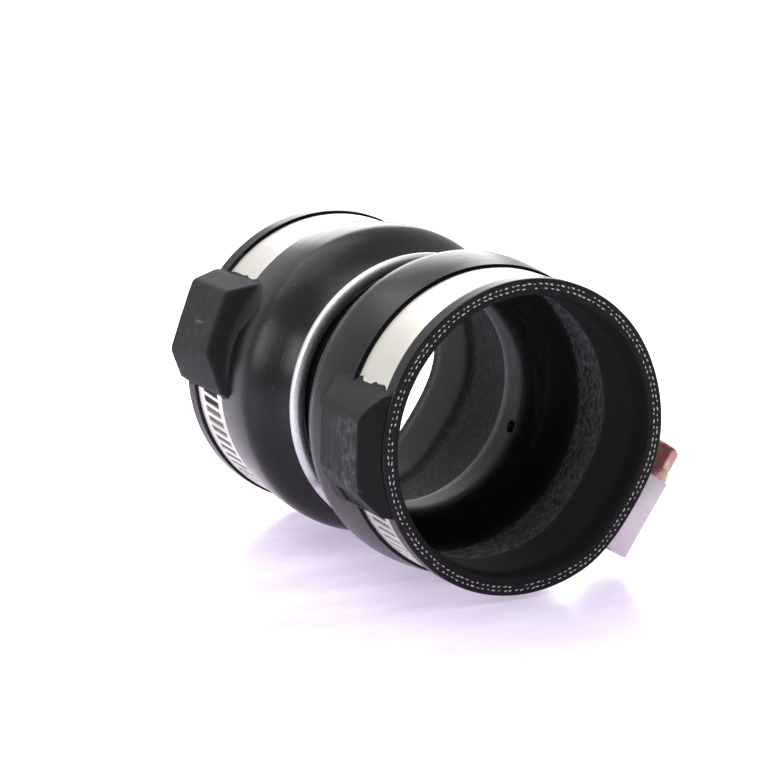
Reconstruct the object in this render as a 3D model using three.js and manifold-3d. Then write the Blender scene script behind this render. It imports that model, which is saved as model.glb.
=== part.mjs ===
// Charge-air hose coupling: a reinforced rubber sleeve with two humps and a restraining ring
// between them, and a worm-drive clamp at each end that runs through a bonded rubber retainer.
//
// Units are millimetres. The sleeve lies on its side with its axis along Y: the front end
// faces -Y, the rear end faces +Y, and +Z is up. A clock angle is measured about the axis in
// degrees, from +X towards +Z. In a clamp's own frame X runs along the screw from its head to
// its tip, Y along the sleeve and Z radially outwards, with the sleeve's axis at Z = 0.
// The origin of the finished part is the bottom centre of its bounding box.
import * as THREE from 'three';
import { mergeVertices } from 'three/addons/utils/BufferGeometryUtils.js';
import Module from 'manifold-3d';

const wasm = await Module();
wasm.setup();

// Sleeve: overall sizes.
const hoseLength = 120;
const boreRadius = 40;
const linerWall = 1.4;
const plyWall = 0.55;
const tieWall = 0.5;
const coverWall = 1.2;
const bondGap = 0.05;
const sleeveWall = linerWall + 2 * plyWall + tieWall + coverWall + 4 * bondGap;
const sleeveRadius = boreRadius + sleeveWall;
const hoseSegments = 24;
const toolOverrun = 1;

// Sleeve: places along each half, measured from the nearer end face.
const humpCrestAt = 38;
const humpRise = 1.3;
const neckRadius = 36.9;
const neckFlat = 5.6;
const neckCurveShares = [0, 0.37, 0.7, 1];
const seatStep = 0.4;
const squeezeRun = 3.5;

// Clamp band and the seat it lies in.
const bandWidth = 16;
const bandThickness = 0.8;
const bandFromEnd = 5.5;
const bandProud = -0.7;
const seatGap = 0.3;
const sideGap = 0.3;
const bandOuter = sleeveRadius + bandProud;
const bandInner = bandOuter - bandThickness;
const seatRadius = bandInner - seatGap;
const seatStart = bandFromEnd - sideGap;
const seatEnd = bandFromEnd + bandWidth + sideGap;
const seatSqueeze = 1.2;

// Where the clamp presses the sleeve flat under its housing.
const pressDepth = 1.3;
const pressHalfAngle = 28;
const pressFadeEnd = humpCrestAt;

// Clock angles of the clamps and retainers.
const clampClock = -35;
const retainerClock = { front: 179, rear: 159.5 };

// Worm screw.
const pitch = 3.2;
const hexSides = 6;
const journalSides = 16;
const flangeSides = 24;
const boreSides = 20;
const wormRadius = 5.1;
const threadDepth = 0.95;
const threadSides = 12;
const ringsPerTurn = 4;
const neckJournal = 2.8;
const tipJournal = 2.2;
const journalGap = 0.3;
const flangeRadius = 6.0;
const flangeTaper = 0.5;
const flangeThickness = 3.4;
const headAcrossFlats = 9.5;
const headHeight = 6.6;
const threadDip = 0.4;
const crestShare = 0.3;
const flankShare = 0.12;

// Housing and the saddle that it grips.
const saddleThickness = 0.8;
const stackGap = 0.3;
const housingLength = 23.4;
const housingWall = 1.0;
const endWall = 1.2;
const plateTopDrop = 1.3;
const plateFoot = 0.35;
const wormTurns = Math.floor((housingLength - 2 * (endWall + journalGap)) / pitch);
const roofShoulder = 1.6;
const roofCorner = 2.6;
const saddleOverhang = 1.6;
const saddleHeadTrim = 3;

// The stack between the sleeve and the worm, from the inside out.
const saddleInner = bandOuter + stackGap;
const saddleOuter = saddleInner + saddleThickness;
const tailInner = saddleOuter + stackGap;
const tailOuter = tailInner + bandThickness;
const tailMid = (tailInner + tailOuter) / 2;
const screwAxis = tailOuter - threadDip + wormRadius;

// Grooves that the worm's thread runs in, pressed into the band from outside.
const grooveWidth = 1.9;
const grooveLength = 9;
const grooveDepth = 0.55;

// The arcs of the band, in degrees from the clamp's own clock angle.
const smoothEndReach = -6;
const groovedEndReach = -12;
const tailFrom = -11;
const tailTo = 30;
const arcStep = 7.5;
const leadAngle = Math.atan(pitch / (2 * Math.PI * (wormRadius - threadDip)));

// Restraining ring.
const ringWire = 4;
const ringGap = 0.3;
const ringRadius = neckRadius + ringGap + ringWire / 2;
const ringSides = 8;
const ringSegments = 40;

// Retainer block.
const retainerHeight = 7.3;
const retainerTopRadius = bandOuter + retainerHeight;
const retainerSkirt = 0.8;
const retainerRoot = 8;
const retainerBaseUpper = 15.5;
const retainerBaseLower = 17.8;
const retainerTopHalf = 10.5;
const retainerRimSide = { base: 1.2, top: 3.0 };
const retainerHumpSide = { base: 28, top: 24.5 };
const retainerGap = 0.3;

// Pin mark in the liner at the neck.
const pinMarkRadius = 1.8;
const pinMarkClock = -23;
const pinMarkFromMiddle = -2.5;
const pinMarkSides = 10;

const finishes = {
  rubber: { color: 0x17171a, roughness: 0.55, metalness: 0 },
  liner: { color: 0x1d1d1f, roughness: 0.8, metalness: 0 },
  fabric: { color: 0xd8d6d0, roughness: 0.9, metalness: 0 },
  stainless: { color: 0xcfcdc8, roughness: 0.28, metalness: 1 },
  galvanised: { color: 0xb9bdc0, roughness: 0.35, metalness: 1 },
  zinc: { color: 0xc4b8ba, roughness: 0.45, metalness: 0.9 },
  chromate: { color: 0xcaa25c, roughness: 0.35, metalness: 0.9 },
};

const toRadians = THREE.MathUtils.degToRad;

// ---- solids ----

function toSolid(geometry) {
  const bare = new THREE.BufferGeometry();
  bare.setAttribute('position', geometry.getAttribute('position').clone());
  if (geometry.index) bare.setIndex(geometry.index.clone());
  const merged = mergeVertices(bare, 1e-4);
  return new wasm.Manifold(new wasm.Mesh({
    numProp: 3,
    vertProperties: new Float32Array(merged.getAttribute('position').array),
    triVerts: new Uint32Array(merged.index.array),
  }));
}

function toGeometry(solid) {
  const mesh = solid.getMesh();
  const geometry = new THREE.BufferGeometry();
  geometry.setAttribute('position', new THREE.BufferAttribute(mesh.vertProperties, 3));
  geometry.setIndex(new THREE.BufferAttribute(mesh.triVerts, 1));
  return geometry;
}

function cut(geometry, tools) {
  const left = tools.reduce((solid, tool) => solid.subtract(toSolid(tool)), toSolid(geometry));
  return toGeometry(left);
}

function join(pieces) {
  return toGeometry(pieces.map(toSolid).reduce((all, piece) => all.add(piece)));
}

function common(a, b) {
  return toGeometry(toSolid(a).intersect(toSolid(b)));
}

function named(name, geometry, finish) {
  const mesh = new THREE.Mesh(geometry, new THREE.MeshStandardMaterial(finishes[finish]));
  mesh.name = name;
  return mesh;
}

// A bar of the given outline, drawn with its first number along X and its second along Z,
// and centred on Y.
function barAlongY(outline, width) {
  const shape = outline instanceof THREE.Shape ? outline : polygon(outline);
  const bar = new THREE.ExtrudeGeometry(shape, { depth: width, bevelEnabled: false, curveSegments: 6 });
  return bar.rotateX(Math.PI / 2).translate(0, width / 2, 0);
}

// A bar of the given outline, drawn with its first number along Y and its second along Z,
// and centred on X.
function barAlongX(outline, length) {
  const bar = new THREE.ExtrudeGeometry(polygon(outline), { depth: length, bevelEnabled: false });
  return bar.rotateX(Math.PI / 2).rotateZ(Math.PI / 2).translate(-length / 2, 0, 0);
}

function polygon(points) {
  return new THREE.Shape(points.map(([a, b]) => new THREE.Vector2(a, b)));
}

// An arc of strip about the sleeve's axis, centred on Y, between two clock angles.
function arcStrip(inner, outer, width, fromClock, toClock) {
  const steps = Math.ceil((toClock - fromClock) / arcStep);
  const step = (toClock - fromClock) / steps;
  const clocks = Array.from({ length: steps + 1 }, (_, i) => fromClock + step * i);
  const at = (radius) => (clock) => [
    radius * Math.cos(toRadians(clock)),
    radius * Math.sin(toRadians(clock)),
  ];
  return barAlongY([...clocks.map(at(outer)), ...clocks.reverse().map(at(inner))], width);
}

// Turns a frame whose Z is radial and whose X runs towards smaller clock angles to a clock.
function turnToClock(object, clock) {
  object.rotation.y = toRadians(90 - clock);
  return object;
}

// ---- sleeve ----

// The sleeve's outer radius, without the clamp seats, at a distance from the nearer end.
function humpProfile(fromEnd) {
  const neckStart = hoseLength / 2 - neckFlat / 2;
  if (fromEnd <= seatEnd) return sleeveRadius;
  if (fromEnd <= humpCrestAt) {
    const t = (fromEnd - seatEnd) / (humpCrestAt - seatEnd);
    return sleeveRadius + humpRise * Math.sin((Math.PI / 2) * t);
  }
  const t = Math.min(1, (fromEnd - humpCrestAt) / (neckStart - humpCrestAt));
  const crest = sleeveRadius + humpRise;
  return neckRadius + (crest - neckRadius) * (0.5 + 0.5 * Math.cos(Math.PI * t));
}

function neckStations() {
  const neckStart = hoseLength / 2 - neckFlat / 2;
  return neckCurveShares.map((share) => humpCrestAt + share * (neckStart - humpCrestAt));
}

// Both halves of a wall surface as [radius, y] points from the front end to the rear end.
function wholeLength(half) {
  const middle = hoseLength / 2;
  const front = half.map(([fromEnd, radius]) => [radius, fromEnd - middle]);
  const rear = half.map(([fromEnd, radius]) => [radius, middle - fromEnd]).reverse();
  return [...front, ...rear];
}

// A surface inside the wall, at a depth below the sleeve's outer surface.
function carcassSurface(depth) {
  const half = [
    [0, sleeveRadius - depth],
    [seatStart - sideGap, sleeveRadius - seatSqueeze - depth],
    [seatEnd, sleeveRadius - seatSqueeze - depth],
    [seatEnd + squeezeRun, humpProfile(seatEnd + squeezeRun) - depth],
    ...neckStations().map((place) => [place, humpProfile(place) - depth]),
  ];
  return wholeLength(half);
}

function coverSurface() {
  const half = [
    [0, sleeveRadius],
    [seatStart - seatStep, sleeveRadius],
    [seatStart, seatRadius],
    [seatEnd, seatRadius],
    [seatEnd + seatStep, humpProfile(seatEnd + seatStep)],
    [seatEnd + squeezeRun, humpProfile(seatEnd + squeezeRun)],
    ...neckStations().map((place) => [place, humpProfile(place)]),
  ];
  return wholeLength(half);
}

// Presses a wall in where each clamp's housing flattens the sleeve.
function pressFlat(geometry) {
  const position = geometry.getAttribute('position');
  for (let i = 0; i < position.count; i += 1) {
    const x = position.getX(i);
    const z = position.getZ(i);
    const clock = THREE.MathUtils.radToDeg(Math.atan2(z, x));
    const away = Math.abs(THREE.MathUtils.euclideanModulo(clock - clampClock + 180, 360) - 180);
    const fromEnd = hoseLength / 2 - Math.abs(position.getY(i));
    const round = away < pressHalfAngle ? Math.cos((Math.PI / 2) * (away / pressHalfAngle)) ** 2 : 0;
    const fade = 1 - THREE.MathUtils.smoothstep(fromEnd, seatEnd, pressFadeEnd);
    const radius = Math.hypot(x, z);
    const scale = radius > 1 ? (radius - pressDepth * round * fade) / radius : 1;
    position.setX(i, x * scale);
    position.setZ(i, z * scale);
  }
  return geometry;
}

// A solid plug up to a surface, with a flat facet under the clamp housings. An overrun
// carries it past both end faces.
function plug(surface, overrun) {
  const [firstRadius, firstY] = surface[0];
  const [lastRadius, lastY] = surface[surface.length - 1];
  const front = overrun > 0 ? [[0, firstY - overrun], [firstRadius, firstY - overrun]] : [[0, firstY]];
  const rear = overrun > 0 ? [[lastRadius, lastY + overrun], [0, lastY + overrun]] : [[0, lastY]];
  const points = [...front, ...surface, ...rear].map(([radius, y]) => new THREE.Vector2(radius, y));
  const facet = 360 / hoseSegments;
  const start = toRadians(90 - clampClock - facet / 2);
  return pressFlat(new THREE.LatheGeometry(points, hoseSegments, start));
}

// One wall of the sleeve, from its inner surface to its outer one.
function wallBetween(innerSurface, outerSurface) {
  return cut(plug(outerSurface, 0), [plug(innerSurface, toolOverrun)]);
}

function pinMarkTool() {
  const reach = linerWall * 4;
  const tool = new THREE.CylinderGeometry(pinMarkRadius, pinMarkRadius, reach, pinMarkSides);
  tool.rotateX(Math.PI / 2);
  tool.translate(0, pinMarkFromMiddle, humpProfile(hoseLength / 2) - sleeveWall + linerWall / 2);
  return tool.rotateY(toRadians(90 - pinMarkClock));
}

function sleeveWalls() {
  const walls = [
    ['inner_liner', linerWall, 'liner'],
    ['inner_ply', plyWall, 'fabric'],
    ['tie_layer', tieWall, 'rubber'],
    ['outer_ply', plyWall, 'fabric'],
  ];
  const pieces = [];
  let depth = sleeveWall;
  for (const [name, thickness, finish] of walls) {
    const wall = wallBetween(carcassSurface(depth), carcassSurface(depth - thickness));
    pieces.push(named(name, name === 'inner_liner' ? cut(wall, [pinMarkTool()]) : wall, finish));
    depth -= thickness + bondGap;
  }
  pieces.push(named('outer_cover', wallBetween(carcassSurface(depth), coverSurface()), 'rubber'));
  return pieces;
}

function waistRing() {
  const ring = new THREE.TorusGeometry(ringRadius, ringWire / 2, ringSides, ringSegments);
  return named('waist_ring', ring.rotateX(Math.PI / 2), 'galvanised');
}

// ---- clamp band ----

// A groove cutter at an angle from the strip's own zero, inclined to match the worm's lead.
function grooveTool(outer, angle) {
  const tool = new THREE.BoxGeometry(grooveWidth, grooveLength, grooveDepth * 2);
  tool.rotateZ(-leadAngle).translate(0, 0, outer);
  return tool.rotateY(toRadians(-angle));
}

// Groove angles spaced by the pitch at a radius, with one of them at zero.
function grooveAngles(radius, from, to) {
  const step = THREE.MathUtils.radToDeg(pitch / radius);
  const first = Math.ceil(from / step);
  const count = Math.floor(to / step) - first + 1;
  return Array.from({ length: count }, (_, i) => (first + i) * step);
}

// Strips are drawn about a clamp whose clock is 90, so that angles count from its Z.
function groovedStrip(inner, outer, from, to, groovesFrom, groovesTo) {
  const strip = arcStrip(inner, outer, bandWidth, from + 90, to + 90);
  const angles = grooveAngles((inner + outer) / 2, groovesFrom, groovesTo);
  return cut(strip, angles.map((angle) => grooveTool(outer, angle)));
}

function clampBand(end) {
  const groovedFrom = retainerClock[end] - clampClock;
  const edge = THREE.MathUtils.radToDeg(grooveLength / bandOuter) / 2;
  const from = smoothEndReach;
  const to = 360 + groovedEndReach;
  const geometry = groovedStrip(bandInner, bandOuter, from, to, groovedFrom, to - edge);
  return named(`${end}_band`, geometry, 'stainless');
}

function bandTail(end) {
  const edge = THREE.MathUtils.radToDeg(grooveWidth / tailMid);
  const geometry = groovedStrip(tailInner, tailOuter, tailFrom, tailTo, tailFrom + edge, tailTo - edge);
  return named(`${end}_band_tail`, geometry, 'stainless');
}

// ---- saddle, housing and screw ----

function saddle(end) {
  const halfAngle = THREE.MathUtils.radToDeg((housingLength / 2 + saddleOverhang) / saddleOuter);
  const headSide = 90 + halfAngle - saddleHeadTrim;
  const geometry = arcStrip(saddleInner, saddleOuter, bandWidth, 90 - halfAngle, headSide);
  return named(`${end}_saddle`, geometry, 'zinc');
}

// Half of a housing's outline runs up the side plate and over the shoulder to the roof.
function housingOutline(halfWidth, foot, plateTop, roof) {
  const half = [
    [halfWidth, foot],
    [halfWidth, plateTop],
    [halfWidth / 2, roof - roofShoulder],
    [halfWidth / 4, roof],
  ];
  return [...half, ...half.map(([y, z]) => [-y, z]).reverse()];
}

function housingSection() {
  const halfWidth = bandWidth / 2 + sideGap + housingWall;
  const foot = sleeveRadius - pressDepth + plateFoot;
  const roof = screwAxis + wormRadius + stackGap + housingWall;
  const plateTop = screwAxis + plateTopDrop;
  const outer = housingOutline(halfWidth, foot, plateTop, roof);
  const ceiling = roof - housingWall;
  const innerFoot = foot - toolOverrun;
  const innerTop = plateTop - housingWall / 2;
  const inner = housingOutline(halfWidth - housingWall, innerFoot, innerTop, ceiling);
  return { outer, inner, foot, roof, halfWidth };
}

// The housing seen from the side: square at its tip end, rounded at the top of its head end.
function housingSide(foot, roof) {
  const half = housingLength / 2;
  const top = roof + toolOverrun;
  const side = new THREE.Shape();
  side.moveTo(half, foot - toolOverrun);
  side.lineTo(half, top);
  side.lineTo(-half + roofCorner * 2, top);
  side.quadraticCurveTo(-half, top - roofCorner, -half, screwAxis + plateTopDrop - roofCorner);
  side.lineTo(-half, foot - toolOverrun);
  side.closePath();
  return side;
}

function housing(end) {
  const { outer, inner, foot, roof, halfWidth } = housingSection();
  const shell = barAlongX(outer, housingLength);
  const hollow = barAlongX(inner, housingLength - 2 * endWall);
  const passageLength = housingLength + 2 * toolOverrun;
  const passage = new THREE.BoxGeometry(passageLength, 2 * (halfWidth - housingWall), tailOuter);
  passage.translate(0, 0, tailOuter / 2 + stackGap);
  const bore = (radius, side) => new THREE.CylinderGeometry(radius, radius, 4 * endWall, boreSides)
    .rotateZ(Math.PI / 2)
    .translate((side * housingLength) / 2, 0, screwAxis);
  const hollowed = cut(shell, [
    hollow,
    passage,
    bore(neckJournal + journalGap, -1),
    bore(tipJournal + journalGap, 1),
  ]);
  const side = barAlongY(housingSide(foot, roof), 2 * (halfWidth + toolOverrun));
  return named(`${end}_housing`, common(hollowed, side), 'zinc');
}

// A cylinder whose wall is raised into one right-handed thread, with its axis along X.
function worm() {
  const length = wormTurns * pitch;
  const rings = wormTurns * ringsPerTurn;
  const geometry = new THREE.CylinderGeometry(wormRadius, wormRadius, length, threadSides, rings);
  const position = geometry.getAttribute('position');
  for (let i = 0; i < position.count; i += 1) {
    const along = -position.getY(i);
    const turn = Math.atan2(position.getX(i), -position.getZ(i)) / (2 * Math.PI);
    const phase = THREE.MathUtils.euclideanModulo(along / pitch - turn + 0.5, 1) - 0.5;
    const height = THREE.MathUtils.clamp((crestShare / 2 + flankShare - Math.abs(phase)) / flankShare, 0, 1);
    const radius = Math.hypot(position.getX(i), position.getZ(i));
    const atEnd = Math.abs(Math.abs(along) - length / 2) < 1e-6;
    const wanted = wormRadius - threadDepth * (atEnd ? 1 : 1 - height);
    const scale = radius > 1e-6 ? wanted / wormRadius : 1;
    position.setX(i, position.getX(i) * scale);
    position.setZ(i, position.getZ(i) * scale);
  }
  return geometry.rotateZ(Math.PI / 2);
}

// A round or six-sided bar along X between two places.
function barBetween(radius, from, to, sides, taperTo = radius) {
  const bar = new THREE.CylinderGeometry(taperTo, radius, to - from, sides);
  return bar.rotateZ(-Math.PI / 2).translate((from + to) / 2, 0, 0);
}

function screw(end) {
  const flangeAt = -housingLength / 2 - journalGap;
  const headAt = flangeAt - flangeThickness;
  const headRadius = headAcrossFlats / Math.sqrt(3);
  const tip = housingLength / 2 + journalGap;
  const geometry = join([
    worm(),
    barBetween(neckJournal, flangeAt - toolOverrun, 0, journalSides),
    barBetween(tipJournal, 0, tip, journalSides),
    barBetween(flangeRadius - flangeTaper, headAt, flangeAt, flangeSides, flangeRadius),
    barBetween(headRadius, headAt - headHeight, headAt + toolOverrun, hexSides),
  ]);
  return named(`${end}_screw`, geometry.translate(0, 0, screwAxis), 'chromate');
}

function clamp(end, side) {
  const group = new THREE.Group();
  group.add(clampBand(end), bandTail(end), saddle(end), housing(end), screw(end));
  group.position.y = side * (hoseLength / 2 - bandFromEnd - bandWidth / 2);
  return turnToClock(group, clampClock);
}

// ---- retainer ----

// Everything under a retainer: the lip, the band and the flank of the hump, with clearance.
function underRetainer() {
  const humpPlaces = [seatEnd, seatEnd + squeezeRun, humpCrestAt];
  const outline = [
    [0, -toolOverrun],
    [sleeveRadius + retainerGap, -toolOverrun],
    [sleeveRadius + retainerGap, seatStart - seatStep],
    [bandOuter + retainerGap, seatStart],
    [bandOuter + retainerGap, seatEnd],
    ...humpPlaces.map((place) => [humpProfile(place) + retainerGap, place + 0.1]),
    [0, humpCrestAt + 0.1],
  ];
  const points = outline.map(([radius, y]) => new THREE.Vector2(radius, y));
  return new THREE.LatheGeometry(points, hoseSegments * 2);
}

// The block is drawn with the end face at Y = 0 and the sleeve running towards +Y. Its upper
// end is the shorter one, and lies at +X on the front block and at -X on the rear one, which
// is turned about Z.
function retainer(end, side) {
  const base = bandInner;
  const right = side < 0 ? retainerBaseUpper : retainerBaseLower;
  const left = side < 0 ? retainerBaseLower : retainerBaseUpper;
  const across = barAlongY([
    [-left, base],
    [right, base],
    [right, base + retainerSkirt],
    [retainerTopHalf, retainerTopRadius],
    [-retainerTopHalf, retainerTopRadius],
    [-left, base + retainerSkirt],
  ], 4 * bandWidth);
  const along = barAlongX([
    [retainerRimSide.base, base - retainerRoot],
    [retainerHumpSide.base, base - retainerRoot],
    [retainerHumpSide.base, base],
    [retainerHumpSide.top, retainerTopRadius],
    [retainerRimSide.top, retainerTopRadius],
    [retainerRimSide.base, base],
  ], 2 * (retainerBaseUpper + retainerBaseLower));
  const block = cut(common(across, along), [underRetainer()]);
  const mesh = named(`${end}_retainer`, side < 0 ? block : block.rotateZ(Math.PI), 'rubber');
  mesh.position.y = (side * hoseLength) / 2;
  return turnToClock(mesh, retainerClock[end]);
}

// ---- whole coupling ----

const coupling = new THREE.Group();
coupling.add(...sleeveWalls(), waistRing());
coupling.add(clamp('front', -1), clamp('rear', 1));
coupling.add(retainer('front', -1), retainer('rear', 1));

const box = new THREE.Box3().setFromObject(coupling, true);
const middle = box.getCenter(new THREE.Vector3());
coupling.position.set(-middle.x, -middle.y, -box.min.z);

export default coupling;
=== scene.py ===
"""Charge-air hose coupling: a reinforced rubber sleeve with two humps, a restraining ring at its
waist, and a worm-drive clamp at each end that runs through a bonded rubber retainer.

Shapes are drawn in millimetres about the sleeve's axis and turned into metres when a piece is
kept. A clock angle is measured about the axis in degrees, from +X towards +Z. A clamp's own
frame has X along the screw from head to tip, Y along the sleeve and Z outwards.
"""

import math
import random
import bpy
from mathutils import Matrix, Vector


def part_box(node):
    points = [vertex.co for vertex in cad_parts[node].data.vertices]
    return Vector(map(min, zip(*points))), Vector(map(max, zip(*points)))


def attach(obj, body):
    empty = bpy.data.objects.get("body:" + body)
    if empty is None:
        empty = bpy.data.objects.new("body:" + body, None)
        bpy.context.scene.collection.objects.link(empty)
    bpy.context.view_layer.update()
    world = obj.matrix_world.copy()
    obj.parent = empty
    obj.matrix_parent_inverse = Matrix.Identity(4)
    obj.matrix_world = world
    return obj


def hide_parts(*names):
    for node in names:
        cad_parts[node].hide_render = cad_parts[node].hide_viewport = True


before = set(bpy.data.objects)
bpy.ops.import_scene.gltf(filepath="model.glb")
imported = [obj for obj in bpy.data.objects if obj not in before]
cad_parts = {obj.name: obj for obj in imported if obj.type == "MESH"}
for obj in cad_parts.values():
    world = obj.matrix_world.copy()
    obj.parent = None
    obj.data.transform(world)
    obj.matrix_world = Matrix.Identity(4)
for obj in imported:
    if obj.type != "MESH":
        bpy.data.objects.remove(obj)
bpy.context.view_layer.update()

from types import SimpleNamespace

import bmesh
import bpy
from mathutils import Matrix, Vector, noise

bl_info = {
    "name": "Charge-air hose coupling",
    "version": (1, 0, 0),
    "blender": (4, 5, 0),
    "location": "3D View > Sidebar > Coupling",
    "description": "Builds a humped hose coupling with its clamps and retainers",
    "category": "Object",
}

MM = 0.001
ENDS = {"front": -1, "rear": 1}


def axis_point():
    """The middle of the sleeve's axis, which is the middle of the waist ring."""
    low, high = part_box("waist_ring")
    return (Vector(low) + Vector(high)) / 2


AXIS = axis_point()


# ---- settings ----


def length(name, description, millimetres):
    """A property that holds a length."""
    return bpy.props.FloatProperty(
        name=name, description=description, default=millimetres * MM, unit="LENGTH", precision=5
    )


def number(name, description, value):
    """A property that holds a plain number: an angle in degrees, a focal length or a strength."""
    return bpy.props.FloatProperty(name=name, description=description, default=value)


def count(name, description, value):
    """A property that holds a whole number."""
    return bpy.props.IntProperty(name=name, description=description, default=value, min=1)


def colour(name, description, value):
    """A property that holds a colour."""
    return bpy.props.FloatVectorProperty(
        name=name, description=description, default=value, subtype="COLOR", min=0, max=1
    )


class SleeveSizes(bpy.types.PropertyGroup):
    """Sizes of the rubber sleeve and its waist ring."""

    half_length: length("Half length", "From the sleeve's middle to an end face", 60)
    radius: length("Outer radius", "Radius of the end lips", 44.4)
    cover_depth: length("Cover depth", "How deep the cover reaches into the wall", 1.2)
    outer_ply_depth: length("Outer ply depth", "How deep the outer ply reaches", 1.82)
    tie_depth: length("Tie depth", "How deep the tie layer reaches", 2.38)
    inner_ply_depth: length("Inner ply depth", "How deep the inner ply reaches", 2.98)
    wall: length("Wall", "Whole thickness of the wall", 4.4)
    hump_crest: length("Hump crest", "From an end face to the crest of its hump", 38)
    hump_rise: length("Hump rise", "Height of the crest above the lips", 1.3)
    neck_radius: length("Neck radius", "Outer radius at the waist", 36.9)
    neck_flat: length("Neck flat", "Length of the straight waist", 5.6)
    seat_start: length("Seat start", "From an end face to the band's seat", 5.1)
    seat_end: length("Seat end", "From an end face to the far side of the seat", 21.9)
    seat_radius: length("Seat radius", "Radius of the band's seat", 42.75)
    squeeze: length("Squeeze", "How far the band squeezes the wall inwards", 1.2)
    press_depth: length("Press depth", "How far a housing presses the sleeve flat", 1.3)
    press_half: number("Press half angle", "Half of the pressed arc, in degrees", 28)
    wobble: length("Wobble", "Unevenness of the moulded surface", 0.09)
    steps: count("Steps", "Facets round the sleeve", 192)
    yarn_pitch: length("Yarn pitch", "From one cut yarn end to the next", 1.8)
    yarn_length: length("Yarn length", "Length of a cut yarn end", 1.15)
    yarn_width: length("Yarn width", "Width of a cut yarn end", 0.41)
    ring_radius: length("Ring radius", "Radius of the waist ring's centreline", 39.2)
    ring_wire: length("Ring wire", "Diameter of the waist ring's wire", 4)
    weld_clock: number("Weld clock", "Clock angle of the ring's weld", 212)


class ClampSizes(bpy.types.PropertyGroup):
    """Sizes of the clamps."""

    clock: number("Clamp clock", "Clock angle of both housings", -35)
    from_end: length("From end", "From an end face to the middle of the band", 13.5)
    band_width: length("Band width", "Width of the band", 16)
    band_outer: length("Band outer radius", "Outer radius of the band", 43.7)
    band_thickness: length("Band thickness", "Thickness of the strip", 0.8)
    band_from: number("Band from", "Where the band starts, from the housing", -6)
    band_to: number("Band to", "Where the band ends, from the housing", 348)
    tail_outer: length("Tail outer radius", "Outer radius of the band's free end", 45.9)
    tail_from: number("Tail from", "Where the moving end starts, from the housing", -11)
    tail_to: number("Tail to", "Where the moving end stops, from the housing", 30)
    pitch: length("Pitch", "From one groove to the next", 3.2)
    groove_width: length("Groove width", "Width of a groove", 1.9)
    groove_length: length("Groove length", "Length of a groove", 9)
    groove_depth: length("Groove depth", "Depth of a groove", 0.5)
    lead: number("Lead angle", "Slant of the grooves", 6.2)
    saddle_outer: length("Saddle outer radius", "Outer radius of the saddle", 44.8)
    saddle_thickness: length("Saddle thickness", "Thickness of the saddle", 0.8)
    housing_length: length("Housing length", "Length of the housing", 23.4)
    housing_half: length("Housing half width", "Half of the housing's width", 9.3)
    housing_wall: length("Housing wall", "Thickness of the housing's sheet", 1)
    end_wall: length("End wall", "Thickness of the housing's ends", 1.2)
    foot: length("Foot", "Height of the side plates' feet above the axis", 43.45)
    roof: length("Roof", "Height of the roof above the axis", 57)
    screw_axis: length("Screw axis", "Height of the screw above the axis", 50.6)
    worm_radius: length("Worm radius", "Radius of the thread's crest", 5.1)
    thread_depth: length("Thread depth", "Depth of the thread", 0.95)
    turns: count("Turns", "Turns of the thread", 6)
    flange_radius: length("Flange radius", "Radius of the collar at the head", 6)
    head_flats: length("Head across flats", "Width of the hex head", 9.5)
    head_end: length("Head end", "From the housing's middle to the head's end", 22)


class RetainerSizes(bpy.types.PropertyGroup):
    """Sizes of the rubber blocks that hold the bands."""

    front_clock: number("Front clock", "Clock angle of the front retainer", 179)
    rear_clock: number("Rear clock", "Clock angle of the rear retainer", 159.5)
    top: length("Top", "Height of the top above the axis", 51)
    top_half: length("Top half", "Half of the top's length round the sleeve", 10.5)
    base_upper: length("Upper base", "From the middle to the base's upper end", 15.5)
    base_lower: length("Lower base", "From the middle to the base's lower end", 17.8)
    rim_top: length("Rim side of top", "From the end face to the top", 3)
    hump_top: length("Hump side of top", "From the end face to the top's far side", 24.5)
    hump_base: length("Hump side of base", "From the end face to the base's far side", 28)
    patch_reach: length("Patch reach", "How far the bonded patch runs up the hump", 7)
    patch_thickness: length("Patch thickness", "Thickness of the bonded patch", 0.4)
    flash: length("Flash", "Thickness of the rubber flash on the band", 0.3)
    cell: length("Cell", "Size of a mesh cell", 0.42)


class Colours(bpy.types.PropertyGroup):
    """Base colours of the finishes."""

    cover: colour("Cover rubber", "Satin black moulded rubber", (0.0045, 0.0045, 0.0055))
    liner: colour("Liner rubber", "Matt black rubber inside", (0.0045, 0.0045, 0.005))
    cut: colour("Cut rubber", "Rubber at the cut ends", (0.012, 0.0115, 0.0125))
    retainer: colour("Retainer rubber", "Matt rubber of the retainers", (0.006, 0.006, 0.0065))
    scuff: colour("Scuff", "Rubbed patches on the retainers", (0.13, 0.13, 0.135))
    yarn: colour("Yarn", "Cut ends of the reinforcing yarn", (0.72, 0.70, 0.67))
    band: colour("Band", "Stainless strip", (0.66, 0.64, 0.61))
    # Painted shade: the darker colour of the pressed grooves' floors.
    groove: colour("Groove", "Floor of the pressed grooves", (0.17, 0.155, 0.15))
    ring: colour("Ring", "Galvanised wire", (0.60, 0.62, 0.63))
    zinc: colour("Zinc", "Zinc-plated sheet", (0.76, 0.72, 0.73))
    chromate_yellow: colour("Chromate yellow", "Yellow of the passivated screw", (0.52, 0.39, 0.27))
    chromate_pink: colour("Chromate pink", "Pink of the passivated screw", (0.50, 0.18, 0.18))
    chromate_green: colour("Chromate green", "Green of the passivated screw", (0.31, 0.33, 0.22))
    floor: colour("Floor", "Plain pale floor", (0.92, 0.90, 0.94))
    floor_glow: colour("Floor glow", "Light that the floor passes on", (0.42, 0.36, 0.48))


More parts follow.
